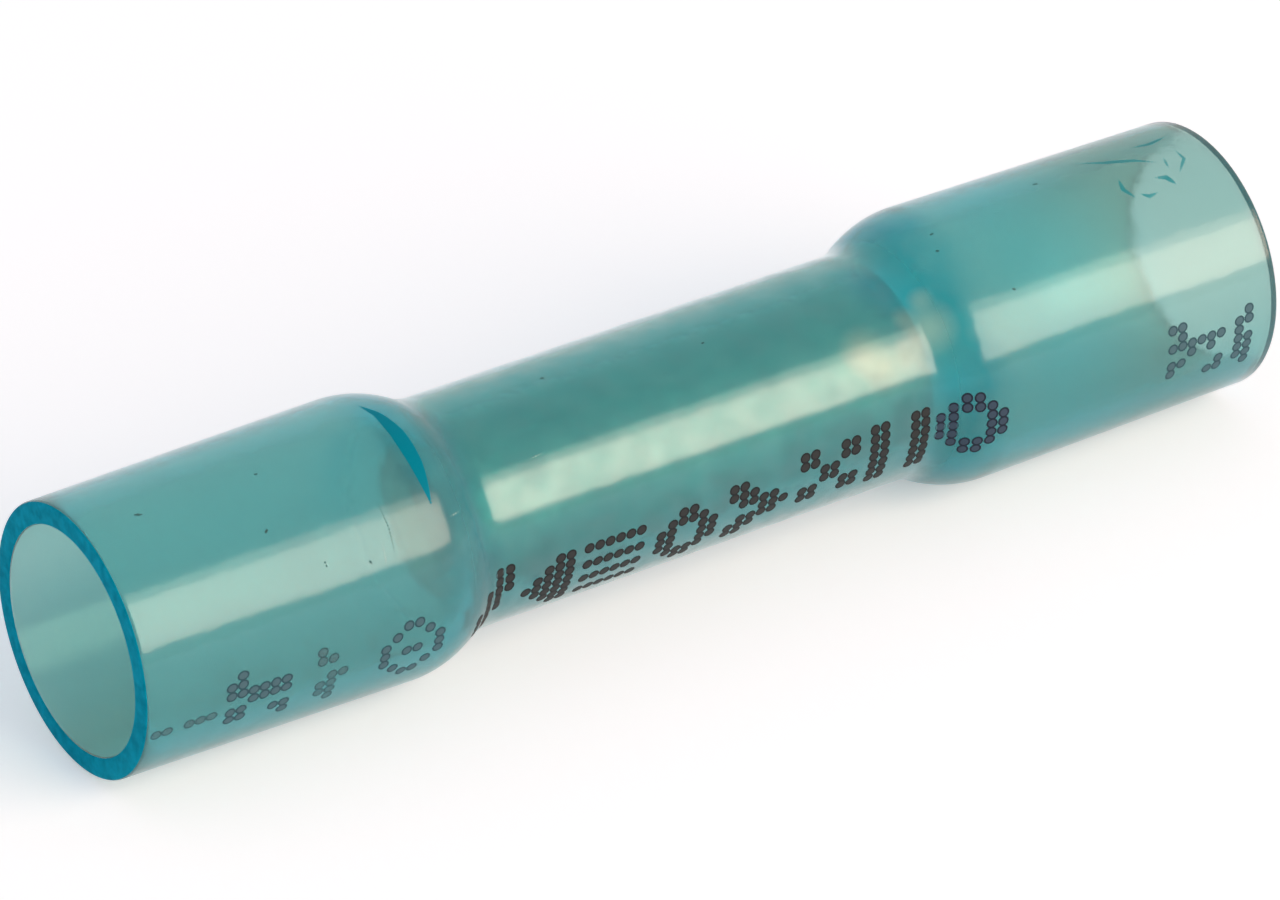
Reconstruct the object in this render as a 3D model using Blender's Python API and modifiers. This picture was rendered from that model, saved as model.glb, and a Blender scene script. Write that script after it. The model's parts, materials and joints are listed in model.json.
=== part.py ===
"""Heat-shrink crimp butt splice for joining two wires end to end, lying on its side.

A translucent blue nylon sleeve with two open bell ends is shrunk tight at its middle over a
tin-plated copper barrel. Each wire goes in at a bell and stops at the pair of dimples pressed
into the barrel at mid-length. Metres, +Z up. The tube runs along X and rests on Z = 0.
"""

import math

import bpy
from mathutils import Vector

MM = 0.001

# Sleeve sizes. One nylon tube: the plastic has the same cross-section area all along it.
SLEEVE_LENGTH = 31.75 * MM
MOUTH_DIAMETER = 6.67 * MM
MOUTH_WALL = 0.57 * MM
BELL_SWELL = 0.19 * MM
BELL_LENGTH = 7.8 * MM
SHOULDER_BEND_RADIUS = 2.8 * MM
WAIST_BEND_RADIUS = 1.5 * MM
RIM_OUTER_ROUNDING = 0.10 * MM
RIM_INNER_ROUNDING = 0.06 * MM

# Barrel sizes
BARREL_DIAMETER = 4.16 * MM
BARREL_BORE = 2.4 * MM
BARREL_OVERHANG = 0.6 * MM
BARREL_EDGE_ROUNDING = 0.15 * MM
ENTRY_FLARE = 0.22 * MM
ENTRY_DEPTH = 0.45 * MM

# The sleeve grips the barrel. This narrow gap only keeps the two solids apart.
SHRINK_GAP = 0.035 * MM

# Wire stops: two round-nosed dimples, facing each other across the bore
STOP_RADIUS = 0.95 * MM
STOP_DEPTH = 0.6 * MM
STOP_ANGLE = math.radians(54)

# How finely the round shapes are cut into flat sides
SLEEVE_SIDES = 72
BARREL_SIDES = 40
BEND_STEPS = 4
ROUNDING_STEPS = 2
STOP_RINGS = 10
MERGE_DISTANCE = 0.001 * MM

# Colours as linear red, green and blue
NYLON_BLUE = (0.035, 0.330, 0.400)
TIN_GREY = (0.560, 0.560, 0.540)


def shoulder_radius():
    """Outside radius of a bell at its shoulder, its widest place and what the splice rests on."""
    return (MOUTH_DIAMETER + BELL_SWELL) / 2


def annulus_constant():
    """Outer radius squared less inner radius squared, the same at every section of the sleeve."""
    outer = MOUTH_DIAMETER / 2
    inner = outer - MOUTH_WALL
    return outer**2 - inner**2


def inner_radius(outer):
    """Inside radius of the sleeve where its outside radius is outer."""
    return math.sqrt(outer**2 - annulus_constant())


def waist_radius():
    """Outside radius of the sleeve where it grips the barrel."""
    inner = BARREL_DIAMETER / 2 + SHRINK_GAP
    return math.sqrt(inner**2 + annulus_constant())


def neck_angle():
    """Steepest slope of the neck, where the shoulder bend meets the waist bend."""
    drop = shoulder_radius() - waist_radius()
    cosine = 1 - abs(drop) / (SHOULDER_BEND_RADIUS + WAIST_BEND_RADIUS)
    return math.copysign(math.acos(cosine), drop)


def neck_length():
    """Length along X of the two bends between a bell and the waist."""
    return (SHOULDER_BEND_RADIUS + WAIST_BEND_RADIUS) * math.sin(abs(neck_angle()))


def waist_length():
    """Length of the straight stretch that grips the barrel."""
    return SLEEVE_LENGTH - 2 * (BELL_LENGTH + neck_length())


def neck_points():
    """Outside of the neck at the +X end, from the shoulder to the waist, as (x, radius) pairs."""
    angle = neck_angle()
    turned_one_way = math.copysign(1, angle)
    shoulder_x = SLEEVE_LENGTH / 2 - BELL_LENGTH
    waist_x = shoulder_x - neck_length()
    points = []
    for step in range(BEND_STEPS + 1):
        turn = abs(angle) * step / BEND_STEPS
        fall = SHOULDER_BEND_RADIUS * (1 - math.cos(turn)) * turned_one_way
        points.append((shoulder_x - SHOULDER_BEND_RADIUS * math.sin(turn), shoulder_radius() - fall))
    for step in range(BEND_STEPS - 1, -1, -1):
        turn = abs(angle) * step / BEND_STEPS
        rise = WAIST_BEND_RADIUS * (1 - math.cos(turn)) * turned_one_way
        points.append((waist_x + WAIST_BEND_RADIUS * math.sin(turn), waist_radius() + rise))
    return points


def rounding_points(x, radius, size, inward):
    """Quarter-round edge at the end face x, from the face to the side wall. inward is 1 or -1."""
    points = []
    for step in range(ROUNDING_STEPS + 1):
        turn = math.pi / 2 * step / ROUNDING_STEPS
        back = size * (1 - math.sin(math.pi / 2 - turn))
        down = size * (1 - math.sin(turn)) * inward
        points.append((x - back, radius - down))
    return points


def mirrored(points):
    """The same outline at the -X end, in the opposite order."""
    return [(-x, radius) for x, radius in reversed(points)]


def sleeve_outline():
    """Closed outline of the sleeve's wall: outside from +X to -X, then inside back to +X."""
    end = SLEEVE_LENGTH / 2
    outside = rounding_points(end, MOUTH_DIAMETER / 2, RIM_OUTER_ROUNDING, 1) + neck_points()
    mouth_bore = MOUTH_DIAMETER / 2 - MOUTH_WALL
    inside = rounding_points(end, mouth_bore, RIM_INNER_ROUNDING, -1)
    inside += [(x, inner_radius(radius)) for x, radius in neck_points()]
    return outside + mirrored(outside) + list(reversed(mirrored(inside))) + list(reversed(inside))


def barrel_outline():
    """Closed outline of the barrel's wall, in the same order as the sleeve's."""
    end = waist_length() / 2 + BARREL_OVERHANG
    bore = BARREL_BORE / 2
    rings = [STOP_RADIUS * (1 - 2 * ring / STOP_RINGS) for ring in range(STOP_RINGS + 1)]
    edge = rounding_points(end, BARREL_DIAMETER / 2, BARREL_EDGE_ROUNDING, 1)
    outside = edge + [(x, BARREL_DIAMETER / 2) for x in rings] + mirrored(edge)
    entry = [(end, bore + ENTRY_FLARE), (end - ENTRY_DEPTH, bore)]
    inside = list(reversed(mirrored(entry))) + [(x, bore) for x in reversed(rings)] + list(reversed(entry))
    return outside + inside


def clear_scene():
    """Remove every object, so the script can also run in an open file."""
    for obj in list(bpy.data.objects):
        bpy.data.objects.remove(obj, do_unlink=True)


def new_collection(name):
    """Add an empty collection to the scene."""
    collection = bpy.data.collections.new(name)
    bpy.context.scene.collection.children.link(collection)
    return collection


def new_material(name, colour, roughness, metallic=0.0, alpha=1.0):
    """A Principled material of one colour."""
    material = bpy.data.materials.new(name)
    material.use_nodes = True
    shader = material.node_tree.nodes["Principled BSDF"]
    shader.inputs["Base Color"].default_value = (*colour, 1.0)
    shader.inputs["Roughness"].default_value = roughness
    shader.inputs["Metallic"].default_value = metallic
    shader.inputs["Alpha"].default_value = alpha
    return material


def turned(name, outline, sides, collection):
    """Turn a closed outline round the X axis, with flat sides that touch the true circle.

    The outline is widened by 1 / cos of half a side's angle, so the middle of each flat lies at
    the radius that the outline gives, and one flat faces straight down.
    """
    half_side = math.pi / sides
    widen = 1 / math.cos(half_side)
    mesh = bpy.data.meshes.new(name)
    points = [(x, radius * widen, 0) for x, radius in outline]
    edges = [(index, (index + 1) % len(points)) for index in range(len(points))]
    mesh.from_pydata(points, edges, [])
    obj = bpy.data.objects.new(name, mesh)
    obj.rotation_euler.x = half_side
    collection.objects.link(obj)
    screw = obj.modifiers.new("Turn round X", "SCREW")
    screw.axis = "X"
    screw.steps = sides
    screw.render_steps = sides
    screw.use_merge_vertices = True
    screw.merge_threshold = MERGE_DISTANCE
    screw.use_smooth_shade = True
    return obj


def made_mesh(obj):
    """Turn an object's modifiers into plain mesh, so that its points can be moved."""
    graph = bpy.context.evaluated_depsgraph_get()
    mesh = bpy.data.meshes.new_from_object(obj.evaluated_get(graph), depsgraph=graph)
    obj.modifiers.clear()
    obj.data = mesh
    mesh.name = obj.name


def press_stop(mesh, towards):
    """Press one dimple into the barrel's wall: a dent outside and the same bump in the bore."""
    for vertex in mesh.vertices:
        if vertex.co.dot(towards) <= 0:
            continue
        distance = (vertex.co - vertex.co.project(towards)).length
        if distance < STOP_RADIUS:
            share = math.cos(math.pi / 2 * distance / STOP_RADIUS) ** 2
            vertex.co -= towards * STOP_DEPTH * share


def build_sleeve(collection):
    """The necked nylon sleeve."""
    sleeve = turned("heat_shrink_sleeve", sleeve_outline(), SLEEVE_SIDES, collection)
    sleeve.data.materials.append(new_material("Nylon", NYLON_BLUE, roughness=0.30, alpha=0.75))
    return sleeve


def build_barrel(collection):
    """The crimp barrel, with flared entries and two pressed wire stops."""
    barrel = turned("crimp_barrel", barrel_outline(), BARREL_SIDES, collection)
    barrel.data.materials.append(new_material("Tinned copper", TIN_GREY, roughness=0.35, metallic=1.0))
    made_mesh(barrel)
    own_angle = STOP_ANGLE - barrel.rotation_euler.x
    upward = Vector((0, math.cos(own_angle), math.sin(own_angle)))
    press_stop(barrel.data, upward)
    press_stop(barrel.data, -upward)
    return barrel


def main():
    """Build the splice and lay it down on its shoulders."""
    clear_scene()
    collection = new_collection("butt splice connector")
    tube_axis = bpy.data.objects.new("tube_axis", None)
    tube_axis.location.z = shoulder_radius()
    collection.objects.link(tube_axis)
    for piece in (build_sleeve(collection), build_barrel(collection)):
        piece.parent = tube_axis


main()
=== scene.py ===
"""Looks of a heat-shrink crimp butt splice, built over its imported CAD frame.

A necked tube of hazy teal nylon lies on a pale table top, with a tinned copper barrel inside its
waist. One line of worn dot printing runs along its front. Metres, +Z up. The tube lies along X,
with the end that the camera looks into at -X.
"""

import json
import logging
import math
from collections.abc import Callable, Iterator
from contextlib import contextmanager
from dataclasses import dataclass
from enum import Enum

import bmesh
import bpy
from mathutils import Matrix, Vector

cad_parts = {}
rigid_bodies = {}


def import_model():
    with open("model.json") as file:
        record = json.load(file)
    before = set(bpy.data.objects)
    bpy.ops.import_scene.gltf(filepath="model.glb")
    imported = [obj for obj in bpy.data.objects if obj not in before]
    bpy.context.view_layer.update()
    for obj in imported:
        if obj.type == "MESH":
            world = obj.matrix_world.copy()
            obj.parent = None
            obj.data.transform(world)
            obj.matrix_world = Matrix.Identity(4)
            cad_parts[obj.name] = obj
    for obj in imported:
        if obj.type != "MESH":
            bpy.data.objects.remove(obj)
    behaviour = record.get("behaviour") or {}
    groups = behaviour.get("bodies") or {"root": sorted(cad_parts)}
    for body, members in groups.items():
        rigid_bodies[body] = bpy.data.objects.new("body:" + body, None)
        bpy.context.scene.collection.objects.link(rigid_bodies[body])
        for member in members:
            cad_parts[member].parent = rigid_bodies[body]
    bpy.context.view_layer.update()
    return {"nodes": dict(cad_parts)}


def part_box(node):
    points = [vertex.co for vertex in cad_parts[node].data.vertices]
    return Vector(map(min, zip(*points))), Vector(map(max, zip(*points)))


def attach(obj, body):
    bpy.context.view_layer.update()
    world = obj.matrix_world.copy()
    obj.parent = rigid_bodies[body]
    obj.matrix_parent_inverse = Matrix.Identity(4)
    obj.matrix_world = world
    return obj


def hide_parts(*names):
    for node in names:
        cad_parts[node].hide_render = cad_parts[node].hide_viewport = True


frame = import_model()

MM = 0.001
LOG = logging.getLogger("splice")

# Points closer together than this are one point
MERGE_DISTANCE = 0.001 * MM

# An outline starts as a plane of this size, whose four points are merged into its first one
START_SIZE = 0.1 * MM

# Ink and marks of handling are thin films. Where two films overlap, one lies a step higher
FILM_THICKNESS = 0.003 * MM
FILM_STEP = 0.0003 * MM

# Steepest bend that is still shaded smooth, on a turned piece and on a film
TURNED_SMOOTH_ANGLE = math.radians(50)
FILM_SMOOTH_ANGLE = math.radians(40)

# How nearly straight up or down the normal of a film's top or bottom points
FACING = 0.9

# Refractive index of nylon
NYLON_IOR = 1.53

# A Mix node has sockets of the same name for each kind of value, so they go by number
FLOAT_A, FLOAT_B = 2, 3
COLOUR_A, COLOUR_B, COLOUR_OUT = 6, 7, 2

# Factors of the formula behind chance
SEED_FACTORS = (12.9898, 78.233, 37.719, 11.131)
SCRAMBLE = 43758.5453

Point = tuple[float, float]
Tree = bpy.types.NodeTree
Socket = bpy.types.NodeSocket


def linear(hex_colour: str) -> tuple[float, float, float, float]:
    """Turns an sRGB colour into the linear one that a shader takes.

    Args:
        hex_colour: Six hex digits, as in "4FA0A0".

    Returns:
        Red, green, blue and an alpha of 1.
    """
    channels = [int(hex_colour[start : start + 2], 16) / 255 for start in (0, 2, 4)]
    red, green, blue = (c / 12.92 if c <= 0.04045 else ((c + 0.055) / 1.055) ** 2.4 for c in channels)
    return red, green, blue, 1.0


def add_node(
    tree: Tree, kind: str, settings: dict | None = None, inputs: dict | None = None
) -> bpy.types.Node:
    """Adds a node with its settings, input values and links.

    Args:
        tree: The node tree to add to.
        kind: The node's type name.
        settings: Properties of the node itself.
        inputs: By input name or number, a plain value or the output socket to link from.

    Returns:
        The new node.
    """
    node = tree.nodes.new(kind)
    for name, value in (settings or {}).items():
        setattr(node, name, value)
    for key, value in (inputs or {}).items():
        if isinstance(value, Socket):
            tree.links.new(value, node.inputs[key])
        else:
            node.inputs[key].default_value = value
    return node


def new_material(name: str) -> tuple[bpy.types.Material, Tree]:
    """Makes an empty node material.

    Args:
        name: The material's name.

    Returns:
        The material and its cleared node tree.
    """
    material = bpy.data.materials.new(name)
    material.use_nodes = True
    material.node_tree.nodes.clear()
    return material, material.node_tree


def deselect_all() -> None:
    """Leaves no object selected or active."""
    for obj in bpy.context.view_layer.objects:
        obj.select_set(False)
    bpy.context.view_layer.objects.active = None


def select_only(obj: bpy.types.Object) -> None:
    """Leaves one object selected and active.

    Args:
        obj: The object.
    """
    deselect_all()
    obj.select_set(True)
    bpy.context.view_layer.objects.active = obj


@contextmanager
def editing(obj: bpy.types.Object) -> Iterator[None]:
    """Holds one object in edit mode.

    Args:
        obj: The mesh object to edit.

    Yields:
        Nothing, while the object is in edit mode.
    """
    select_only(obj)
    bpy.ops.object.mode_set(mode="EDIT")
    try:
        yield
    finally:
        bpy.ops.object.mode_set(mode="OBJECT")


def select_faces(obj: bpy.types.Object, wanted: Callable[[bmesh.types.BMFace], bool]) -> None:
    """Selects the faces that pass a test, in edit mode.

    Args:
        obj: The object in edit mode.
        wanted: Says whether a face is selected.
    """
    bpy.ops.mesh.select_mode(type="FACE")
    bpy.ops.mesh.select_all(action="DESELECT")
    mesh = bmesh.from_edit_mesh(obj.data)
    for face in mesh.faces:
        face.select_set(wanted(face))
    bmesh.update_edit_mesh(obj.data)


def apply_place(obj: bpy.types.Object) -> None:
    """Moves an object's place into its mesh, so that the object sits at the origin."""
    obj.data.transform(obj.matrix_basis)
    obj.matrix_basis = Matrix.Identity(4)


def arc_fall(radius: float, run: float) -> float:
    """How far a round of this radius falls away from its tangent after a run along it."""
    return radius - math.sqrt(radius * radius - run * run)


def chance(*seeds: float) -> float:
    """Makes a number that looks random and is the same each time for the same seeds.

    Args:
        *seeds: Up to four numbers.

    Returns:
        A number from 0 to 1.
    """
    turn = sum(seed * factor for seed, factor in zip(seeds, SEED_FACTORS))
    grain = math.sin(turn) * SCRAMBLE
    return grain - math.floor(grain)


@dataclass(frozen=True)
class Fade:
    """How a second colour comes in: the measure where it starts, where it is full, and its share."""

    start: float
    full: float
    share: float

    def over(self, tree: Tree, tint: Socket, shade: str, measure: Socket) -> Socket:
        """Adds a second colour over the first.

        Args:
            tree: The material's node tree.
            tint: The first colour.
            shade: The second colour.
            measure: What the second colour follows.

        Returns:
            The mixed colour.
        """
        depth = add_node(
            tree,
            "ShaderNodeMapRange",
            {"interpolation_type": "SMOOTHSTEP"},
            {"Value": measure, "From Min": self.start, "From Max": self.full, "To Max": self.share},
        )
        mixed = add_node(
            tree,
            "ShaderNodeMix",
            {"data_type": "RGBA"},
            {0: depth.outputs[0], COLOUR_A: tint, COLOUR_B: linear(shade)},
        )
        return mixed.outputs[COLOUR_OUT]


@dataclass(frozen=True)
class Mottle:
    """Cloudy patches: their size, their detail, and the noise that counts as low and as high."""

    size: float
    detail: float
    low: float
    high: float

    def between(self, tree: Tree, place: Socket, least: float, most: float) -> Socket:
        """Adds a value that varies from patch to patch.

        Args:
            tree: The material's node tree.
            place: Object coordinates.
            least: The value where the noise is low.
            most: The value where the noise is high.

        Returns:
            The value.
        """
        noise = add_node(
            tree,
            "ShaderNodeTexNoise",
            inputs={"Vector": place, "Scale": 1 / self.size, "Detail": self.detail},
        )
        value = add_node(
            tree,
            "ShaderNodeMapRange",
            inputs={
                "Value": noise.outputs["Fac"],
                "From Min": self.low,
                "From Max": self.high,
                "To Min": least,
                "To Max": most,
            },
        )
        return value.outputs[0]


@dataclass(frozen=True)
class BlownNylon:
    """Nylon tube, extruded and blown wide: hazy, so that what is behind it shows only as colour.

    The plastic takes red out of the light that goes through it. Its skin has soft highlights, and
    brighter, patchy ones on the waist, where shrinking pulled it tight. Pale, clouded patches there
    also paint brightness into that highlight. Its bore is warmer, and rough where it grips the
    barrel. It is palest on the bells, where it was blown widest, and deepest at the necks. The far
    bell is bluer. Painted shade makes its end greyer and its lower side deeper.
    """

    axis_height: float
    half_length: float
    # Tints of each stretch, of deep patches where the plastic is thick, of pale clouded patches, and
    # of the bore. The deep patches under the tube are painted shade, and the pale ones paint highlight
    bell: str = "6ECAD6"
    neck: str = "0EB2CA"
    waist: str = "48CAD4"
    pooled_and_shade: str = "00CCE8"
    milky_and_highlight: str = "C6ECE4"
    bore: str = "FFEEDC"
    # Two tints that come in along X, the second of them painted shade, greyer at the far end, and
    # one of painted shade that comes in downwards, by height over the axis
    far_bell: str = "50CCDE"
    far_bell_fade: Fade = Fade(7.5 * MM, 9.5 * MM, 0.6)
    far_end_shade: str = "7CA69E"
    far_end_shade_fade: Fade = Fade(9.5 * MM, 13.5 * MM, 0.68)
    underside_shade: str = "1A9EAA"
    underside_shade_fade: Fade = Fade(1.0 * MM, -2.2 * MM, 0.75)
    # The plastic itself: what it keeps of red, green and blue, and how soon it takes the rest
    light_kept: tuple[float, float, float] = (0.0, 0.96, 0.96)
    absorption_per_m: float = 220.0
    see_through: float = 0.78
    bell_roughness: float = 0.13
    waist_roughness: float = 0.15
    bore_roughness: float = 0.13
    gripped_roughness: float = 0.36
    # The gloss of the waist, which ends at a distance from mid-length
    least_gloss: float = 0.42
    most_gloss: float = 0.84
    gloss_roughness: float = 0.17
    gloss_patches: Mottle = Mottle(0.55 * MM, 3.0, 0.35, 0.65)
    gloss_full: float = 5.9 * MM
    gloss_ends: float = 6.5 * MM
    # Distances from mid-length between which the finish changes, and radii inside the wall
    waist_to: float = 6.3 * MM
    bells_from: float = 8.1 * MM
    waist_mid_wall: float = 2.48 * MM
    bell_mid_wall: float = 3.1 * MM
    # Where the tint of the necks is deepest, and how cloudy its edges are
    neck_at: float = 6.9 * MM
    neck_reach: float = 1.2 * MM
    clouds: Mottle = Mottle(1.6 * MM, 3.0, 0.3, 0.7)
    cloud_drift: float = 0.5 * MM
    # Slight unevenness of the skin
    skin_size: float = 0.8 * MM
    skin_depth: float = 0.011 * MM

    def patches(self) -> Iterator[tuple[str, Vector, Fade]]:
        """Gives the places where shrinking left the plastic uneven, with painted shade and highlight.

        Yields:
            The colour, its middle on the skin, and how it comes in towards that middle.
        """
        # Place along the tube, distance from the axis and reach in mm, and turn in degrees
        for colour, along, radius, degrees, reach, share in (
            (self.pooled_and_shade, -7.85, 3.3, 6.0, 0.75, 0.7),
            (self.pooled_and_shade, -7.8, 3.3, 20.0, 0.8, 0.7),
            (self.pooled_and_shade, -7.75, 3.3, 34.0, 0.75, 0.7),
            (self.pooled_and_shade, 5.8, 2.85, 14.0, 1.1, 0.95),
            (self.pooled_and_shade, 6.1, 2.9, 27.0, 0.8, 0.9),
            (self.pooled_and_shade, 6.6, 3.0, 74.0, 0.9, 0.85),
            # The two deep patches under the tube, at turns 122 and 210, are painted shade
            (self.pooled_and_shade, 6.3, 3.0, 122.0, 1.3, 0.95),
            (self.pooled_and_shade, -6.6, 3.0, 210.0, 1.2, 0.85),
            # Pale clouded patches, placed along the waist's highlight, where they paint brightness into
            # it
            (self.milky_and_highlight, 4.6, 2.82, 47.0, 0.8, 0.9),
            (self.milky_and_highlight, 4.9, 2.82, 58.0, 0.75, 0.85),
            (self.milky_and_highlight, 6.4, 2.95, 47.0, 0.8, 0.85),
            (self.milky_and_highlight, 5.6, 2.82, 56.0, 0.55, 0.65),
            (self.milky_and_highlight, 6.5, 2.95, 33.0, 0.4, 0.6),
            (self.milky_and_highlight, 5.9, 2.9, 38.0, 0.4, 0.5),
        ):
            yield colour, self.on_skin(along * MM, radius * MM, degrees), Fade(reach * MM, 0.0, share)

    def on_skin(self, along: float, radius: float, degrees: float) -> Vector:
        """A point on the sleeve, from its place along the tube and its turn from up to the front."""
        turn = math.radians(degrees)
        return Vector((along, -radius * math.sin(turn), self.axis_height + radius * math.cos(turn)))

    def material(self) -> bpy.types.Material:
        """Makes the material of the sleeve's outside and bore.

        Returns:
            The material.
        """
        material, tree = new_material("Blown nylon tube")
        place = add_node(tree, "ShaderNodeTexCoord").outputs["Object"]
        along = add_node(tree, "ShaderNodeSeparateXYZ", inputs={"Vector": place}).outputs["X"]
        distance = add_node(tree, "ShaderNodeMath", {"operation": "ABSOLUTE"}, {0: along})
        from_middle = distance.outputs[0]
        in_bore = self.in_bore(tree, place, from_middle)
        outside = self.outside_colour(tree, place, from_middle)
        colour = add_node(
            tree,
            "ShaderNodeMix",
            {"data_type": "RGBA"},
            {0: in_bore, COLOUR_A: outside, COLOUR_B: linear(self.bore)},
        )
        skin_rough = self.along_neck(tree, from_middle, self.waist_roughness, self.bell_roughness)
        bore_rough = self.along_neck(tree, from_middle, self.gripped_roughness, self.bore_roughness)
        roughness = add_node(
            tree,
            "ShaderNodeMix",
            {"data_type": "FLOAT"},
            {0: in_bore, FLOAT_A: skin_rough, FLOAT_B: bore_rough},
        )
        skin = add_node(
            tree,
            "ShaderNodeTexNoise",
            inputs={"Vector": place, "Scale": 1 / self.skin_size, "Detail": 2.0},
        )
        bump = add_node(
            tree,
            "ShaderNodeBump",
            inputs={"Strength": 1.0, "Distance": self.skin_depth, "Height": skin.outputs["Fac"]},
        )
        shader = add_node(
            tree,
            "ShaderNodeBsdfPrincipled",
            inputs={
                "Base Color": colour.outputs[COLOUR_OUT],
                "Roughness": roughness.outputs[0],
                "IOR": NYLON_IOR,
                "Transmission Weight": self.see_through,
                "Coat Weight": self.gripped_gloss(tree, place, from_middle),
                "Coat Roughness": self.gloss_roughness,
                "Normal": bump.outputs["Normal"],
            },
        )
        volume = add_node(
            tree,
            "ShaderNodeVolumeAbsorption",
            inputs={"Color": (*self.light_kept, 1.0), "Density": self.absorption_per_m},
        )
        add_node(
            tree,
            "ShaderNodeOutputMaterial",
            inputs={"Surface": shader.outputs[0], "Volume": volume.outputs[0]},
        )
        return material

    def along_neck(self, tree: Tree, from_middle: Socket, waist: float, bell: float) -> Socket:
        """Adds a value that changes along each neck.

        Args:
            tree: The material's node tree.
            from_middle: Distance along the tube from its middle.
            waist: The value on the waist.
            bell: The value on the bells.

        Returns:
            The value.
        """
        value = add_node(
            tree,
            "ShaderNodeMapRange",
            inputs={
                "Value": from_middle,
                "From Min": self.waist_to,
                "From Max": self.bells_from,
                "To Min": waist,
                "To Max": bell,
            },
        )
        return value.outputs[0]

    def in_bore(self, tree: Tree, place: Socket, from_middle: Socket) -> Socket:
        """Adds a factor that is 1 on the inside of the tube and 0 on its outside.

        Args:
            tree: The material's node tree.
            place: Object coordinates.
            from_middle: Distance along the tube from its middle.

        Returns:
            The factor.
        """
        across = add_node(
            tree,
            "ShaderNodeMapping",
            inputs={"Vector": place, "Location": (0, 0, -self.axis_height), "Scale": (0, 1, 1)},
        )
        from_axis = add_node(
            tree, "ShaderNodeVectorMath", {"operation": "LENGTH"}, {0: across.outputs[0]}
        )
        mid_wall = self.along_neck(tree, from_middle, self.waist_mid_wall, self.bell_mid_wall)
        within = add_node(
            tree,
            "ShaderNodeMath",
            {"operation": "LESS_THAN"},
            {0: from_axis.outputs["Value"], 1: mid_wall},
        )
        return within.outputs[0]

    def outside_colour(self, tree: Tree, place: Socket, from_middle: Socket) -> Socket:
        """Adds the tint of the outside, which follows the tube's length with a cloudy edge.

        It holds painted shade at the far end and low down, and painted highlight in pale patches.

        Args:
            tree: The material's node tree.
            place: Object coordinates.
            from_middle: Distance along the tube from its middle.

        Returns:
            The colour.
        """
        drift = self.clouds.between(tree, place, -self.cloud_drift, self.cloud_drift)
        drifted = add_node(tree, "ShaderNodeMath", {"operation": "ADD"}, {0: from_middle, 1: drift})
        share = add_node(
            tree,
            "ShaderNodeMath",
            {"operation": "DIVIDE"},
            {0: drifted.outputs[0], 1: self.half_length},
        )
        colour = add_node(tree, "ShaderNodeValToRGB", inputs={"Fac": share.outputs[0]})
        stops = colour.color_ramp.elements
        stops[0].color = linear(self.waist)
        stops[1].color = linear(self.bell)
        for distance, shade in (
            (self.neck_at - self.neck_reach, self.waist),
            (self.neck_at, self.neck),
            (self.neck_at + self.neck_reach, self.bell),
        ):
            stops.new(distance / self.half_length).color = linear(shade)
        tint = colour.outputs["Color"]
        for shade, middle, fade in self.patches():
            away = add_node(
                tree, "ShaderNodeVectorMath", {"operation": "DISTANCE"}, {0: place, 1: middle}
            )
            tint = fade.over(tree, tint, shade, away.outputs["Value"])
        # Painted shade: the far end's greyer tint, and the deeper lower side, which comes in from just
        # above the axis downwards
        low = self.underside_shade_fade
        low = Fade(self.axis_height + low.start, self.axis_height + low.full, low.share)
        where = add_node(tree, "ShaderNodeSeparateXYZ", inputs={"Vector": place})
        for shade, axis, fade in (
            (self.far_bell, "X", self.far_bell_fade),
            (self.far_end_shade, "X", self.far_end_shade_fade),
            (self.underside_shade, "Z", low),
        ):
            tint = fade.over(tree, tint, shade, where.outputs[axis])
        return tint

    def gripped_gloss(self, tree: Tree, place: Socket, from_middle: Socket) -> Socket:
        """Adds the patchy gloss of the waist, which shrinking onto the barrel pulled smooth.

        Args:
            tree: The material's node tree.
            place: Object coordinates.
            from_middle: Distance along the tube from its middle.

        Returns:
            The weight of the gloss.
        """
        patchy = self.gloss_patches.between(tree, place, self.least_gloss, self.most_gloss)
        gloss = add_node(
            tree,
            "ShaderNodeMapRange",
            inputs={
                "Value": from_middle,
                "From Min": self.gloss_ends,
                "From Max": self.gloss_full,
                "To Max": patchy,
            },
        )
        return gloss.outputs[0]


@dataclass(frozen=True)
class CutNylon:
    """Knife-cut nylon: the light that runs along the wall and leaves here is painted as deep teal."""

    deep: str = "0094AE"
    lit: str = "10B2CE"
    roughness: float = 0.5
    specular: float = 0.01
    streak_size: float = 0.25 * MM
    streak_depth: float = 0.01 * MM
    streak_spread: Point = (0.3, 0.75)

    def material(self) -> bpy.types.Material:
        """Makes the material of the two cut rings.

        Returns:
            The material.
        """
        material, tree = new_material("Knife-cut nylon")
        place = add_node(tree, "ShaderNodeTexCoord").outputs["Object"]
        streaks = add_node(
            tree,
            "ShaderNodeTexNoise",
            inputs={"Vector": place, "Scale": 1 / self.streak_size, "Detail": 2.0},
        )
        dim, bright = self.streak_spread
        share = add_node(
            tree,
            "ShaderNodeMapRange",
            inputs={"Value": streaks.outputs["Fac"], "From Min": dim, "From Max": bright},
        )
        colour = add_node(
            tree,
            "ShaderNodeMix",
            {"data_type": "RGBA"},
            {0: share.outputs[0], COLOUR_A: linear(self.deep), COLOUR_B: linear(self.lit)},
        )
        bump = add_node(
            tree,
            "ShaderNodeBump",
            inputs={
                "Strength": 0.5,
                "Distance": self.streak_depth,
                "Height": streaks.outputs["Fac"],
            },
        )
        shader = add_node(
            tree,
            "ShaderNodeBsdfPrincipled",
            inputs={
                "Base Color": colour.outputs[COLOUR_OUT],
                "Roughness": self.roughness,
                "IOR": NYLON_IOR,
                "Specular IOR Level": self.specular,
                "Normal": bump.outputs["Normal"],
            },
        )
        add_node(tree, "ShaderNodeOutputMaterial", inputs={"Surface": shader.outputs[0]})
        return material


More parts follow.
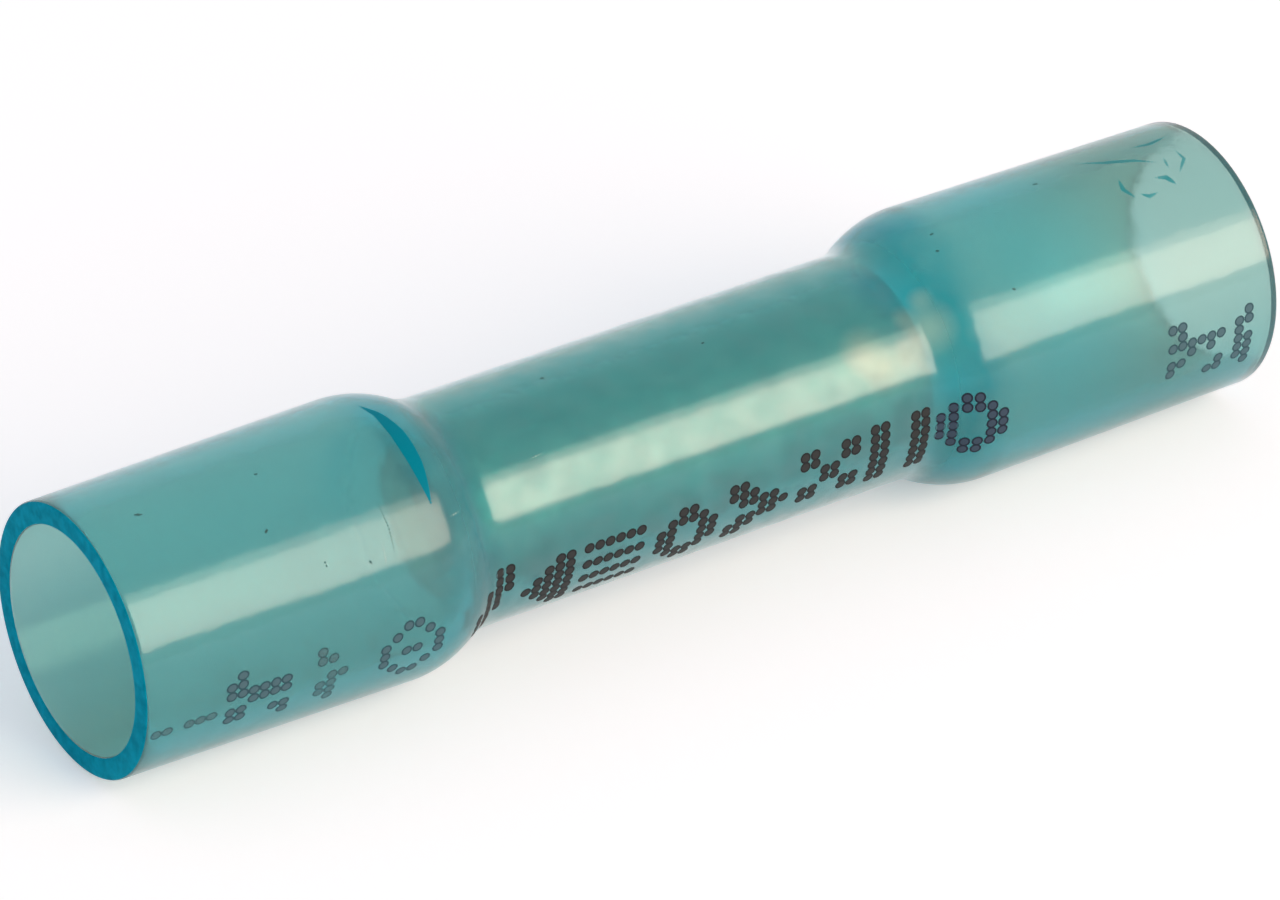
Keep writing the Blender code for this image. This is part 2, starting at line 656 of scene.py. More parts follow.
@dataclass(frozen=True)
class TinPlate:
    """Tin, plated on rolled copper: satin and warm, slightly wavy, so its highlight breaks up."""

    bright: str = "CEC6BA"
    dull: str = "9E968C"
    roughness: float = 0.5
    patches: Mottle = Mottle(0.9 * MM, 4.0, 0.35, 0.65)
    wave_size: float = 0.7 * MM
    wave_depth: float = 0.03 * MM

    def material(self) -> bpy.types.Material:
        """Makes the barrel's material.

        Returns:
            The material.
        """
        material, tree = new_material("Tin-plated copper")
        place = add_node(tree, "ShaderNodeTexCoord").outputs["Object"]
        share = self.patches.between(tree, place, 0.0, 1.0)
        colour = add_node(
            tree,
            "ShaderNodeMix",
            {"data_type": "RGBA"},
            {0: share, COLOUR_A: linear(self.dull), COLOUR_B: linear(self.bright)},
        )
        waves = add_node(
            tree,
            "ShaderNodeTexNoise",
            inputs={"Vector": place, "Scale": 1 / self.wave_size, "Detail": 1.0},
        )
        bump = add_node(
            tree,
            "ShaderNodeBump",
            inputs={"Strength": 1.0, "Distance": self.wave_depth, "Height": waves.outputs["Fac"]},
        )
        shader = add_node(
            tree,
            "ShaderNodeBsdfPrincipled",
            inputs={
                "Base Color": colour.outputs[COLOUR_OUT],
                "Metallic": 1.0,
                "Roughness": self.roughness,
                "Normal": bump.outputs["Normal"],
            },
        )
        add_node(tree, "ShaderNodeOutputMaterial", inputs={"Surface": shader.outputs[0]})
        return material


class Wear(Enum):
    """How much of the printing ink is left: name, colours of a dot's edge and middle, and cover."""

    FRESH = ("fresh", "04142A", "34475A", 1.0)
    DULL = ("dull", "0C1216", "282B2C", 1.0)
    FADED = ("faded", "2A4C58", "486874", 0.95)
    RUBBED = ("rubbed", "3C5C66", "54767E", 0.75)


@dataclass(frozen=True)
class PrintInk:
    """Ink-jet printing ink: matt dots, dark where the ink dried at the edge, that rub away."""

    name: str
    colour: str
    cover: float
    roughness: float = 0.6
    specular: float = 0.3
    grain: Mottle = Mottle(0.05 * MM, 2.0, 0.3, 0.5)

    def material(self) -> bpy.types.Material:
        """Makes the material of one shade of dried ink.

        Returns:
            The material.
        """
        material, tree = new_material(f"Ink-jet ink, {self.name}")
        place = add_node(tree, "ShaderNodeTexCoord").outputs["Object"]
        shader = add_node(
            tree,
            "ShaderNodeBsdfPrincipled",
            inputs={
                "Base Color": linear(self.colour),
                "Roughness": self.roughness,
                "Specular IOR Level": self.specular,
                "Alpha": self.grain.between(tree, place, self.cover * self.cover, self.cover),
            },
        )
        add_node(tree, "ShaderNodeOutputMaterial", inputs={"Surface": shader.outputs[0]})
        return material


class Scuff(Enum):
    """Kinds of small mark on the nylon: name, colour, cover, roughness and specular level.

    A fold and a crease show deeper teal, because the plastic lies double or thick there. A
    scratch is pale and matt, a cut is painted darker with the shade it holds, and a speck of dust
    is dark.
    """

    FOLD = ("Folded nylon", "008AA2", 0.88, 0.4, 0.05)
    CREASE = ("Creased nylon", "1A9AA4", 0.65, 0.3, 0.3)
    SCRATCH = ("Scratched nylon", "C4DDD6", 0.5, 0.6, 0.5)
    CUT = ("Scored nylon", "3E7F82", 0.6, 0.5, 0.3)
    SPECK = ("Dust speck", "3A5657", 0.8, 0.7, 0.3)

    def material(self) -> bpy.types.Material:
        """Makes the material of this kind of mark.

        Returns:
            The material.
        """
        name, colour, cover, roughness, specular = self.value
        material, tree = new_material(name)
        shader = add_node(
            tree,
            "ShaderNodeBsdfPrincipled",
            inputs={
                "Base Color": linear(colour),
                "Roughness": roughness,
                "Specular IOR Level": specular,
                "Alpha": cover,
            },
        )
        add_node(tree, "ShaderNodeOutputMaterial", inputs={"Surface": shader.outputs[0]})
        return material


@dataclass
class Sleeve:
    """The heat-shrink sleeve: a turned tube whose wall has the same cross-section area all along.

    The frame gives its length, the radius of its shoulders and the height of its axis. The mouth
    and the barrel are given by their radii.
    """

    length: float
    shoulder: float
    axis_height: float
    mouth: float = 6.67 * MM / 2
    mouth_wall: float = 0.57 * MM
    bell_length: float = 7.8 * MM
    shoulder_bend: float = 2.8 * MM
    waist_bend: float = 1.5 * MM
    barrel: float = 4.16 * MM / 2
    grip_gap: float = 0.035 * MM
    outer_rounding: float = 0.10 * MM
    inner_rounding: float = 0.06 * MM
    # How far behind the end plane the look of the cut reaches into the rounded edges
    cut_depth: float = 0.024 * MM
    # How finely the shape is divided
    sides: int = 192
    bend_steps: int = 12
    rounding_steps: int = 4
    straight_step: float = 0.6 * MM
    slope_step: float = 0.02 * MM

    @property
    def annulus(self) -> float:
        """Outer radius squared less inner radius squared."""
        return self.mouth**2 - (self.mouth - self.mouth_wall) ** 2

    @property
    def waist(self) -> float:
        """Outside radius where the sleeve grips the barrel."""
        return math.sqrt((self.barrel + self.grip_gap) ** 2 + self.annulus)

    @property
    def neck_angle(self) -> float:
        """Steepest slope of the neck."""
        return math.acos(1 - (self.shoulder - self.waist) / (self.shoulder_bend + self.waist_bend))

    @property
    def neck_length(self) -> float:
        """Length of the two bends between a bell and the waist."""
        return (self.shoulder_bend + self.waist_bend) * math.sin(self.neck_angle)

    @property
    def shoulder_bend_length(self) -> float:
        """Length of the first of the two bends."""
        return self.shoulder_bend * math.sin(self.neck_angle)

    @property
    def shoulder_at(self) -> float:
        """Distance of a shoulder from mid-length."""
        return self.length / 2 - self.bell_length

    def inner(self, outer: float) -> float:
        """Inside radius where the outside radius is outer."""
        return math.sqrt(outer**2 - self.annulus)

    def radius(self, along: float) -> float:
        """Works out the outside radius at a place along the tube.

        Args:
            along: The place along X, from mid-length.

        Returns:
            The radius, without the rounding of the rims.
        """
        out = abs(along)
        if out >= self.shoulder_at:
            share = (out - self.shoulder_at) / self.bell_length
            return self.shoulder + (self.mouth - self.shoulder) * share
        run = self.shoulder_at - out
        if run <= self.shoulder_bend_length:
            return self.shoulder - arc_fall(self.shoulder_bend, run)
        if run < self.neck_length:
            return self.waist + arc_fall(self.waist_bend, self.neck_length - run)
        return self.waist

    def surface(self, along: float, turn: float, lift: float) -> Matrix:
        """Makes a frame that stands on the sleeve's skin.

        Args:
            along: Place along X, from mid-length.
            turn: Angle round the tube, from straight up towards the front.
            lift: Height above the skin.

        Returns:
            A matrix whose Z axis stands on the skin and whose X axis runs along the tube.
        """
        rise = self.radius(along + self.slope_step) - self.radius(along - self.slope_step)
        slope = math.atan2(rise, 2 * self.slope_step)
        upright = Matrix.Translation((along, 0, self.radius(along))) @ Matrix.Rotation(-slope, 4, "Y")
        raised = upright @ Matrix.Translation((0, 0, lift))
        return Matrix.Translation((0, 0, self.axis_height)) @ Matrix.Rotation(turn, 4, "X") @ raised

    def stations(self) -> list[float]:
        """Lists the places of the rings from one shoulder to the other, closer in the bends.

        Returns:
            Places along X, from +X to -X.
        """
        places = []
        between = self.shoulder_bend_length
        for start, end in ((0.0, between), (between, self.neck_length)):
            for step in range(self.bend_steps):
                places.append(self.shoulder_at - start - (end - start) * step / self.bend_steps)
        waist_end = self.shoulder_at - self.neck_length
        count = math.ceil(waist_end / self.straight_step)
        places += [waist_end * (count - step) / count for step in range(count)]
        return places + [0.0] + [-place for place in reversed(places)]

    def bell_stations(self) -> list[float]:
        """Lists the places of the rings on the bell at +X, from near its rim to its shoulder.

        Returns:
            Places along X, from +X to -X.
        """
        first = self.length / 2 - self.outer_rounding
        count = math.ceil(self.bell_length / self.straight_step)
        return [first + (self.shoulder_at - first) * step / count for step in range(count)]

    def rounding(self, size: float, radius: float, inward: int) -> list[Point]:
        """Draws the quarter-round edge at the +X end face, from the face to the wall.

        Args:
            size: Radius of the rounding.
            radius: Radius of the wall that it meets.
            inward: 1 for the outer edge, which rounds towards the axis, and -1 for the inner one.

        Returns:
            Points as (place along X, radius).
        """
        points = []
        for step in range(self.rounding_steps + 1):
            turn = math.pi / 2 * step / self.rounding_steps
            back = size * (1 - math.cos(turn))
            down = size * (1 - math.sin(turn)) * inward
            points.append((self.length / 2 - back, radius - down))
        return points

    def outline(self) -> list[Point]:
        """Draws the wall's closed outline, outside first, without repeating its first point.

        Returns:
            Points as (place along X, radius).
        """
        bell = self.bell_stations()
        rim_radius = self.radius(bell[0])
        outer_rim = self.rounding(self.outer_rounding, rim_radius, 1)
        inner_rim = self.rounding(self.inner_rounding, self.inner(rim_radius), -1)
        outside = [(place, self.radius(place)) for place in bell[1:] + self.stations()]
        outside += [(-place, self.radius(place)) for place in reversed(bell[1:])]
        inside = [(place, self.inner(radius)) for place, radius in reversed(outside)]
        near_outer = [(-place, radius) for place, radius in reversed(outer_rim)]
        near_inner = [(-place, radius) for place, radius in inner_rim]
        return outer_rim + outside + near_outer + near_inner + inside + list(reversed(inner_rim))

    def build(self) -> bpy.types.Object:
        """Draws the outline point by point, spins it round the tube's axis and dresses it.

        Returns:
            The sleeve, in place of the CAD one.
        """
        obj = spun("nylon_sleeve", self.outline(), self.sides, self.axis_height)
        for finish in (BlownNylon(self.axis_height, self.length / 2), CutNylon()):
            obj.data.materials.append(finish.material())
        for polygon in obj.data.polygons:
            polygon.material_index = int(abs(polygon.center.x) > self.length / 2 - self.cut_depth)
        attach(obj, "root")
        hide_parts("heat_shrink_sleeve")
        return obj


def spun(name: str, outline: list[Point], sides: int, axis_height: float) -> bpy.types.Object:
    """Draws a closed outline as by hand and spins it round the tube's axis.

    Args:
        name: The new object's name.
        outline: Points as (place along X, radius).
        sides: How many steps the spin has.
        axis_height: Height of the tube's axis.

    Returns:
        The smooth, closed object, at the origin.
    """
    deselect_all()
    along, radius = outline[0]
    bpy.ops.mesh.primitive_plane_add(size=START_SIZE, location=(along, 0, axis_height + radius))
    obj = bpy.context.object
    obj.name = name
    obj.data.name = name
    apply_place(obj)
    with editing(obj):
        bpy.ops.mesh.select_mode(type="VERT")
        bpy.ops.mesh.select_all(action="SELECT")
        bpy.ops.mesh.merge(type="CENTER")
        for start, end in zip(outline, outline[1:] + outline[:1], strict=True):
            step = (end[0] - start[0], 0, end[1] - start[1])
            bpy.ops.mesh.extrude_region_move(TRANSFORM_OT_translate={"value": step})
        bpy.ops.mesh.select_all(action="SELECT")
        bpy.ops.mesh.remove_doubles(threshold=MERGE_DISTANCE)
        bpy.ops.mesh.spin(steps=sides, angle=math.tau, center=(0, 0, axis_height), axis=(1, 0, 0))
        bpy.ops.mesh.select_all(action="SELECT")
        bpy.ops.mesh.remove_doubles(threshold=MERGE_DISTANCE)
        bpy.ops.mesh.normals_make_consistent(inside=False)
    select_only(obj)
    bpy.ops.object.shade_smooth_by_angle(angle=TURNED_SMOOTH_ANGLE)
    return obj


@dataclass
class Barrel:
    """The crimp barrel inside the waist: the CAD node itself, in its plated finish."""

    node: str = "crimp_barrel"

    def dress(self) -> bpy.types.Object:
        """Gives the CAD barrel its finish.

        Returns:
            The barrel.
        """
        obj = frame["nodes"][self.node]
        obj.data.materials.clear()
        obj.data.materials.append(TinPlate().material())
        return obj


class Mark(Enum):
    """Plain dot figures of the printed line, each as its rows of dots, with # for ink."""

    CHEVRON = ("##....", "###...", ".####.", "...###", ".####.", "###...", "##....")
    BARS = ("##..##", "##..##", "##..##", "##..##", "##..##", "##..##", "##..##")
    DIAMOND = ("..##..", ".####.", "##..##", "##..##", "##..##", ".####.", "..##..")
    TARGET = ("..##..", ".#..#.", "#....#", "#.##.#", "#....#", ".#..#.", "..##..")
    BLOCKS = ("##....", "##....", "######", "..####", "##....", "##..##", "....##")
    WEDGE = ("....##", "...###", "..####", ".#####", "..####", "...###", "....##")
    LINES = ("######", "......", "######", "......", "######", "......", "######")
    TILES = ("##..##", "##..##", "..##..", "..##..", "##..##", "##..##", "......")
    SLOPE = ("..##", "..##", ".###", ".##.", "###.", "##..", "##..")
    SMEAR = (".#....", ".##...", ".#....", "..##..", ".##...", ".###..", "..#...")
    RULE = ("......", "......", "......", "##.###", "......", "......", "......")


def flat_dot(radius: float, sides: int, edge: float = 0.3) -> bpy.types.Object:
    """Models a flat round film with a sloping edge, open below, which is then copied.

    Args:
        radius: Outside radius.
        sides: How many sides the round has.
        edge: How much of the radius, and of the thickness again, the sloping edge takes.

    Returns:
        The object, whose edge has material 0 and whose middle has material 1.
    """
    deselect_all()
    bpy.ops.mesh.primitive_cylinder_add(
        vertices=sides, radius=radius, depth=FILM_THICKNESS, end_fill_type="NGON"
    )
    obj = bpy.context.object
    with editing(obj):
        select_faces(obj, lambda face: face.normal.z > FACING)
        bpy.ops.mesh.inset(thickness=edge * radius, depth=edge * FILM_THICKNESS)
        select_faces(obj, lambda face: face.normal.z < -FACING)
        bpy.ops.mesh.delete(type="FACE")
    for polygon in obj.data.polygons:
        # Only the middle has a side for each of the round's own
        polygon.material_index = int(len(polygon.vertices) == sides)
    return obj


def laid(master: bpy.types.Object, place: Matrix, material: Callable[[int], int]) -> bpy.types.Object:
    """Copies a film to its place, with a mesh of its own.

    Args:
        master: The film.
        place: Its place and stretch.
        material: Turns a face's material number on the film into that on the copy.

    Returns:
        The copy.
    """
    copy = bpy.data.objects.new("film", master.data.copy())
    copy.data.transform(place)
    for polygon in copy.data.polygons:
        polygon.material_index = material(polygon.material_index)
    bpy.context.scene.collection.objects.link(copy)
    return copy


def joined(name: str, copies: list[bpy.types.Object]) -> bpy.types.Object:
    """Joins films into one object at the origin, which belongs to the sleeve.

    Args:
        name: The joined object's name.
        copies: Objects with their places in their meshes.

    Returns:
        The joined object.
    """
    deselect_all()
    for copy in copies:
        copy.select_set(True)
    bpy.context.view_layer.objects.active = copies[0]
    bpy.ops.object.join()
    obj = bpy.context.object
    obj.name = name
    obj.data.name = name
    bpy.ops.object.shade_smooth_by_angle(angle=FILM_SMOOTH_ANGLE)
    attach(obj, "root")
    return obj


@dataclass(frozen=True)
class Cell:
    """One printed figure: its middle in mm from the near end, its turn in degrees, and its wear.

    The last value is the share of its dots that are kept.
    """

    mark: Mark
    near: float
    turn: float
    wear: Wear
    kept: float = 1.0


@dataclass
class PrintedLine:
    """One line of dot printing along the front of the sleeve, worn away towards both ends."""

    sleeve: Sleeve
    dot: float = 0.285 * MM
    dot_sides: int = 16
    column_pitch: float = 0.29 * MM
    row_pitch: float = 0.25 * MM
    # How near the rim a dot's middle may come, in dots
    rim_clearance: float = 0.65
    # Worn dots are stretched, each by its own draw less this middle, and the more they are worn
    stretch_middle: float = 0.3
    stretch_most: float = 0.8
    # Neighbouring dots lie at heights that repeat after so many columns and rows
    heights: int = 3

    def cells(self) -> list[Cell]:
        """Lists the figures of the line.

        Returns:
            The figures, from the near end to the far end.
        """
        return [
            Cell(Mark.RULE, 1.0, 105.5, Wear.RUBBED, 0.75),
            Cell(Mark.BLOCKS, 2.95, 103.0, Wear.FADED, 0.8),
            Cell(Mark.SMEAR, 5.05, 105.0, Wear.RUBBED, 0.85),
            Cell(Mark.TARGET, 7.05, 106.0, Wear.FADED),
            Cell(Mark.SLOPE, 9.6, 107.0, Wear.DULL),
            Cell(Mark.WEDGE, 11.0, 111.0, Wear.DULL),
            Cell(Mark.LINES, 12.95, 111.0, Wear.DULL),
            Cell(Mark.DIAMOND, 15.0, 109.5, Wear.DULL),
            Cell(Mark.CHEVRON, 17.0, 107.0, Wear.DULL),
            Cell(Mark.TILES, 19.0, 103.0, Wear.DULL),
            Cell(Mark.BARS, 21.0, 101.0, Wear.DULL),
            Cell(Mark.DIAMOND, 22.85, 96.0, Wear.FRESH),
            Cell(Mark.BLOCKS, 29.3, 95.0, Wear.FADED, 0.9),
            Cell(Mark.BARS, 31.3, 97.0, Wear.FADED, 0.95),
        ]

    def figure(self, master: bpy.types.Object, index: int, cell: Cell) -> list[bpy.types.Object]:
        """Copies the dot to every printed place of one figure.

        Args:
            master: The dot.
            index: Number of the cell, which varies its wear.
            cell: The figure and its place.

        Returns:
            The copies.
        """
        dots = cell.mark.value
        first_material = 2 * list(Wear).index(cell.wear)
        copies = []
        for row, line in enumerate(dots):
            for column, ink in enumerate(line):
                if ink != "#" or chance(index, column, row) > cell.kept:
                    continue
                across = column - (len(line) - 1) / 2
                along = cell.near * MM + across * self.column_pitch - self.sleeve.length / 2
                if abs(along) > self.sleeve.length / 2 - self.rim_clearance * self.dot:
                    continue
                down = (row - (len(dots) - 1) / 2) * self.row_pitch / self.sleeve.radius(along)
                lift = FILM_STEP * (column % self.heights + self.heights * (row % self.heights))
                skin = self.sleeve.surface(along, math.radians(cell.turn) + down, lift)
                ragged = (1 - cell.kept) * (chance(row, index, column) - self.stretch_middle)
                longer = self.stretch_most * ragged
                stretch = Matrix.Diagonal((1 + longer, 1 - longer, 1, 1))
                copies.append(laid(master, skin @ stretch, lambda number: number + first_material))
        return copies

    def build(self) -> bpy.types.Object:
        """Prints every figure of the line.

        Returns:
            The line, as one object.
        """
        master = flat_dot(self.dot / 2, self.dot_sides)
        for wear in Wear:
            name, edge, middle, cover = wear.value
            for part, colour in (("edge", edge), ("middle", middle)):
                master.data.materials.append(PrintInk(f"{name} {part}", colour, cover).material())
        copies = []
        for index, cell in enumerate(self.cells()):
            copies += self.figure(master, index, cell)
        bpy.data.objects.remove(master)
        return joined("printed_line", copies)


@dataclass
class SurfaceMarks:
    """Small marks of handling on the sleeve: a fold, creases, cuts, scratches and specks."""

    sleeve: Sleeve
    film_sides: int = 8
    step: float = 0.09 * MM
    # How many steps the first film of a mark stands in from the point where its width would be 0
    blunt: float = 0.7
    # Neighbouring films lie at heights that repeat after so many
    heights: int = 4

    def strokes(self) -> list[tuple[Scuff, float, list[Point]]]:
        """Lists the marks.

        Returns:
            Kind, width in mm and course of each, as (mm from the near end, turn in degrees).
        """
        return [
            (Scuff.FOLD, 0.42, [(7.95, -6.0), (8.12, 4.0), (8.18, 16.0), (8.15, 32.0), (8.05, 50.0)]),
            (Scuff.CREASE, 0.15, [(28.3, -7.5), (28.9, -1.0), (29.6, 4.1), (30.1, 10.0)]),
            (Scuff.CREASE, 0.13, [(29.9, -5.3), (30.4, -3.7), (30.95, -5.5)]),
            (Scuff.CREASE, 0.13, [(28.8, 12.0), (28.7, 17.8), (28.85, 23.7)]),
            (Scuff.CREASE, 0.12, [(29.05, 22.8), (29.2, 24.9), (29.45, 24.5)]),
            (Scuff.CREASE, 0.16, [(29.7, 17.3), (29.95, 18.9), (30.05, 23.1)]),
            (Scuff.CREASE, 0.10, [(30.75, 5.8), (30.75, 12.2), (30.35, 18.7)]),
            (Scuff.CREASE, 0.08, [(30.3, 8.5), (30.2, 14.1)]),
            (Scuff.CUT, 0.05, [(6.8, 40.7), (6.83, 53.0), (6.76, 67.4)]),
            (Scuff.SCRATCH, 0.05, [(6.56, 53.8), (6.53, 62.1), (6.5, 68.3)]),
            (Scuff.SCRATCH, 0.05, [(8.47, 56.1), (8.7, 55.5)]),
            (Scuff.SCRATCH, 0.05, [(11.17, 43.3), (11.5, 42.6)]),
            (Scuff.SPECK, 0.09, [(1.37, 12.4), (1.5, 13.2)]),
            (Scuff.SPECK, 0.08, [(3.95, 38.5), (3.99, 38.0)]),
            (Scuff.SPECK, 0.06, [(4.5, 13.1), (4.54, 13.2)]),
            (Scuff.SPECK, 0.06, [(5.04, 57.0), (5.05, 58.4)]),
            (Scuff.SPECK, 0.06, [(6.13, 62.3), (6.15, 62.9)]),
            (Scuff.SPECK, 0.08, [(12.66, 2.5), (12.7, 2.7)]),
            (Scuff.SPECK, 0.06, [(16.74, 15.2), (16.78, 15.2)]),
            (Scuff.SPECK, 0.07, [(23.47, 7.6), (23.52, 7.6)]),
            (Scuff.SPECK, 0.07, [(23.29, 16.5), (23.32, 16.8)]),
            (Scuff.SPECK, 0.07, [(24.52, 43.9), (24.55, 44.2)]),
            (Scuff.SPECK, 0.09, [(26.88, -1.7), (26.94, -1.5)]),
            (Scuff.SPECK, 0.06, [(18.9, -64.0), (18.96, -63.8)]),
            (Scuff.SPECK, 0.08, [(5.7, -88.0), (5.76, -87.5)]),
            (Scuff.SCRATCH, 0.05, [(25.1, -72.0), (25.9, -74.0), (26.5, -73.0)]),
            (Scuff.SCRATCH, 0.05, [(3.2, -110.0), (3.3, -104.0)]),
        ]

    def places(self, course: list[Point]) -> list[Point]:
        """Divides a course into places close enough to read as one line.

        Args:
            course: The places that the mark passes.

        Returns:
            All its places, in the same measures.
        """
        places = []
        for (start, start_turn), (end, end_turn) in zip(course, course[1:]):
            along, turn = end - start, end_turn - start_turn
            run = math.hypot(along * MM, math.radians(turn) * self.sleeve.shoulder)
            steps = max(1, math.ceil(run / self.step))
            places += [(start + along * n / steps, start_turn + turn * n / steps) for n in range(steps)]
        return places + [course[-1]]

    def stroke(
        self, master: bpy.types.Object, kind: Scuff, width: float, course: list[Point]
    ) -> list[bpy.types.Object]:
        """Copies the film along a course, narrower towards both ends.

        Args:
            master: The film, one metre wide.
            kind: Kind of mark.
            width: Width at its middle.
            course: The places that the mark passes.

        Returns:
            The copies.
        """
        places = self.places(course)
        whole = len(places) - 1 + 2 * self.blunt
        own_material = list(Scuff).index(kind)
        copies = []
        for number, (near, turn) in enumerate(places):
            wide = width * math.sin(math.pi * (number + self.blunt) / whole)
            lift = FILM_STEP * (number % self.heights)
            skin = self.sleeve.surface(near * MM - self.sleeve.length / 2, math.radians(turn), lift)
            place = skin @ Matrix.Diagonal((wide, wide, 1, 1))
            copies.append(laid(master, place, lambda _: own_material))
        return copies

    def build(self) -> bpy.types.Object:
        """Lays every mark on the sleeve's skin.

        Returns:
            The marks, as one object.
        """
        # One metre wide, so that the width of a mark is the scale of its copies
        master = flat_dot(0.5, self.film_sides)
        for kind in Scuff:
            master.data.materials.append(kind.material())
        copies = []
        for kind, width, course in self.strokes():
            copies += self.stroke(master, kind, width * MM, course)
        bpy.data.objects.remove(master)
        return joined("surface_marks", copies)


@dataclass(frozen=True)
class Softbox:
    """A lamp beside the splice: its edges in degrees from up to the front, and W/m2 of its face."""

    name: str
    upper: float
    lower: float
    radiance: float


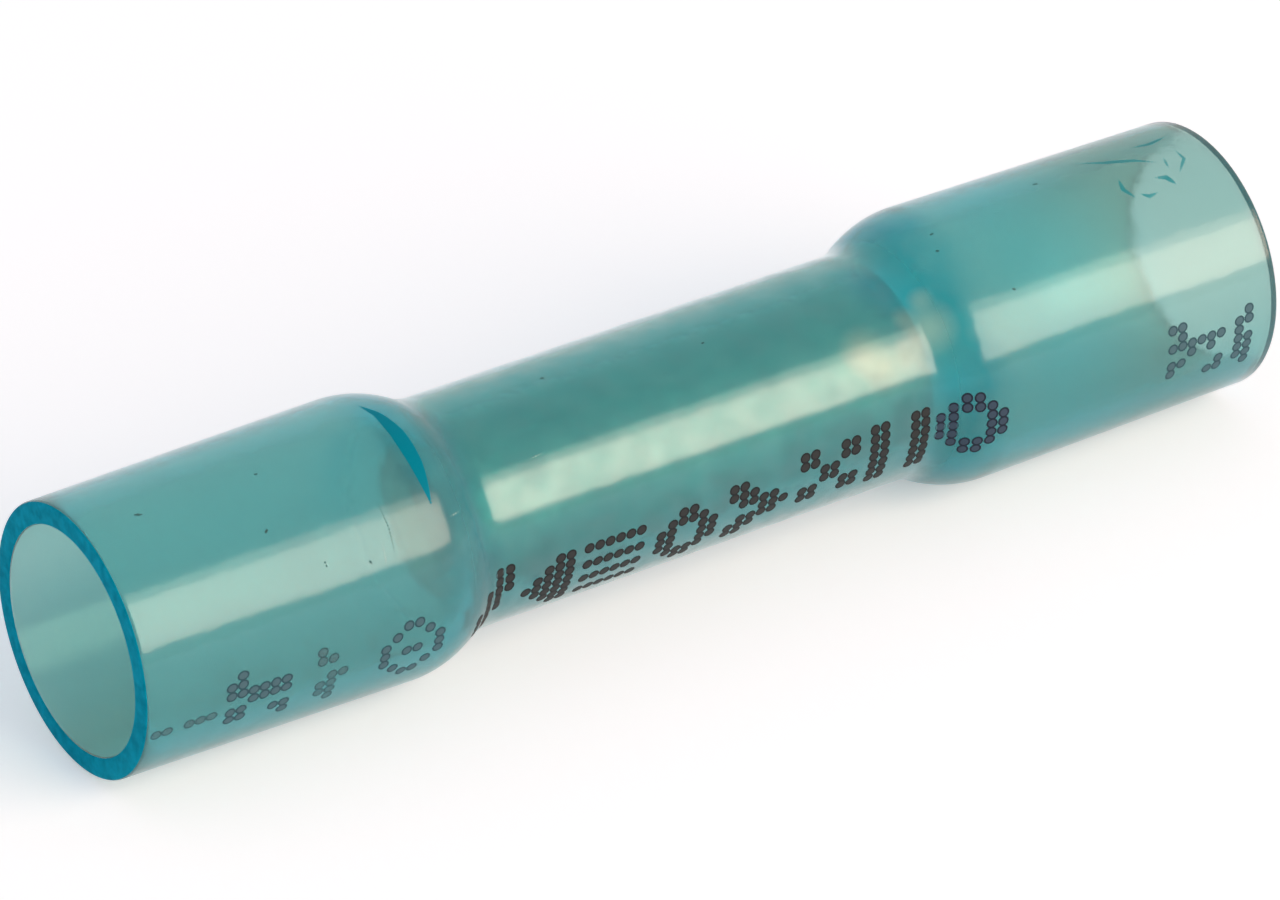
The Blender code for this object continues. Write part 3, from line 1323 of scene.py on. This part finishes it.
@dataclass
class Studio:
    """Pale table top, soft lamps and the camera."""

    near_rim: Vector
    # The camera's side and height as angles, its lens and sensor in mm, and where it sees the
    # middle of the near rim: to its right, up and away from it
    azimuth: float = math.radians(-33.7)
    elevation: float = math.radians(31.3)
    lens: float = 248.6
    sensor: float = 36.0
    nearest_seen: float = 1 * MM
    near_rim_seen: tuple[float, float, float] = (-12.89 * MM, -4.34 * MM, 200.3 * MM)
    # The lamps, how far off they hang, where their middle is along X, and their length
    softboxes: tuple[Softbox, ...] = (
        Softbox("Softbox", 42.0, 79.5, 17.0),
        Softbox("Softbox edge", 34.0, 42.0, 7.0),
    )
    softbox_distance: float = 0.8
    softbox_along: float = 0.43
    softbox_length: float = 0.84
    softbox_colour: str = "FFE0C6"
    # The light of the room on the splice, and how the room is seen, level and overhead
    room_light: str = "A2A9B2"
    room_seen_low: str = "FFF6EC"
    room_seen_high: str = "CED0D0"
    # The floor is matt, and it glows only where it is seen directly, in gloss or through nylon
    floor_width: float = 4.0
    floor_paint: str = "F2F6FC"
    floor_roughness: float = 0.9
    floor_specular: float = 0.1
    floor_glow: float = 0.38

    def axes(self) -> tuple[Vector, Vector, Vector]:
        """Works out the camera's directions.

        Returns:
            To its right, its up and back towards it.
        """
        level = math.cos(self.elevation)
        back = Vector(
            (
                math.sin(self.azimuth) * level,
                -math.cos(self.azimuth) * level,
                math.sin(self.elevation),
            )
        )
        right = Vector((0, 0, 1)).cross(back).normalized()
        return right, back.cross(right), back

    def build_camera(self) -> None:
        """Puts the camera where the near rim shows as in the photograph."""
        right, up, back = self.axes()
        sideways, upwards, away = self.near_rim_seen
        place = self.near_rim - right * sideways - up * upwards + back * away
        data = bpy.data.cameras.new("Camera")
        data.lens = self.lens
        data.sensor_width = self.sensor
        data.clip_start = self.nearest_seen
        camera = bpy.data.objects.new("Camera", data)
        turned = Matrix((right, up, back)).transposed().to_4x4()
        camera.matrix_world = Matrix.Translation(place) @ turned
        bpy.context.scene.collection.objects.link(camera)
        bpy.context.scene.camera = camera

    def seen_directly(self, tree: Tree) -> Socket:
        """Adds a factor that is 1 where a surface is seen: by the camera, in gloss or through nylon.

        Args:
            tree: The node tree of the floor or the room.

        Returns:
            The factor, which is 0 for light that only falls on the object.
        """
        path = add_node(tree, "ShaderNodeLightPath")
        seen = path.outputs["Is Camera Ray"]
        for also in ("Is Glossy Ray", "Is Transmission Ray"):
            either = {0: seen, 1: path.outputs[also]}
            seen = add_node(tree, "ShaderNodeMath", {"operation": "MAXIMUM"}, either).outputs[0]
        return seen

    def build_floor(self) -> None:
        """Lays a plain white table top, with its edges far out of sight."""
        deselect_all()
        bpy.ops.mesh.primitive_plane_add(size=self.floor_width, location=(0, 0, 0))
        floor = bpy.context.object
        floor.name = "table_top"
        material, tree = new_material("White table top")
        glow = add_node(
            tree,
            "ShaderNodeMath",
            {"operation": "MULTIPLY"},
            {0: self.seen_directly(tree), 1: self.floor_glow},
        )
        shader = add_node(
            tree,
            "ShaderNodeBsdfPrincipled",
            inputs={
                "Base Color": linear(self.floor_paint),
                "Roughness": self.floor_roughness,
                "Specular IOR Level": self.floor_specular,
                "Emission Color": linear("FFFFFF"),
                "Emission Strength": glow.outputs[0],
            },
        )
        add_node(tree, "ShaderNodeOutputMaterial", inputs={"Surface": shader.outputs[0]})
        floor.data.materials.append(material)

    def build_softbox(self, box: Softbox) -> None:
        """Hangs a softbox beside the splice, parallel to it.

        Args:
            box: The lamp's name, edges and brightness.
        """
        half = math.radians(box.lower - box.upper) / 2
        data = bpy.data.lights.new(box.name, "AREA")
        data.shape = "RECTANGLE"
        data.size = self.softbox_length
        data.size_y = 2 * self.softbox_distance * math.tan(half)
        data.energy = box.radiance * data.size * data.size_y
        data.color = linear(self.softbox_colour)[:3]
        lamp = bpy.data.objects.new(box.name, data)
        sideways = Matrix.Translation((self.softbox_along, 0, 0))
        away = Matrix.Translation((0, 0, self.softbox_distance))
        turned = Matrix.Rotation(math.radians(box.upper) + half, 4, "X")
        lamp.matrix_world = sideways @ turned @ away
        bpy.context.scene.collection.objects.link(lamp)

    def build_room(self) -> None:
        """Puts a pale room all round, white near the floor where it is seen."""
        world = bpy.data.worlds.new("Pale room")
        bpy.context.scene.world = world
        world.use_nodes = True
        tree = world.node_tree
        tree.nodes.clear()
        direction = add_node(tree, "ShaderNodeTexCoord").outputs["Generated"]
        height = add_node(tree, "ShaderNodeSeparateXYZ", inputs={"Vector": direction})
        low, high = linear(self.room_seen_low), linear(self.room_seen_high)
        seen = add_node(
            tree,
            "ShaderNodeMix",
            {"data_type": "RGBA"},
            {0: height.outputs["Z"], COLOUR_A: low, COLOUR_B: high},
        )
        light, shown = linear(self.room_light), seen.outputs[COLOUR_OUT]
        colour = add_node(
            tree,
            "ShaderNodeMix",
            {"data_type": "RGBA"},
            {0: self.seen_directly(tree), COLOUR_A: light, COLOUR_B: shown},
        )
        background = add_node(
            tree, "ShaderNodeBackground", inputs={"Color": colour.outputs[COLOUR_OUT]}
        )
        add_node(tree, "ShaderNodeOutputWorld", inputs={"Surface": background.outputs[0]})

    def build(self) -> None:
        """Sets up the whole studio."""
        self.build_floor()
        for box in self.softboxes:
            self.build_softbox(box)
        self.build_room()
        self.build_camera()
        bpy.context.scene.view_settings.view_transform = "Standard"


def main() -> None:
    """Builds each piece in order."""
    logging.basicConfig(level=logging.INFO, format="%(name)s: %(message)s")
    low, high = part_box("heat_shrink_sleeve")
    sleeve = Sleeve(
        length=high.x - low.x, shoulder=(high.z - low.z) / 2, axis_height=(high.z + low.z) / 2
    )
    line = PrintedLine(sleeve)
    marks = SurfaceMarks(sleeve)
    for built in (sleeve.build(), Barrel().dress(), line.build(), marks.build()):
        LOG.info("%s: %d faces", built.name, len(built.data.polygons))
    Studio(near_rim=Vector((low.x, 0, sleeve.axis_height))).build()


if __name__ == "__main__":
    main()
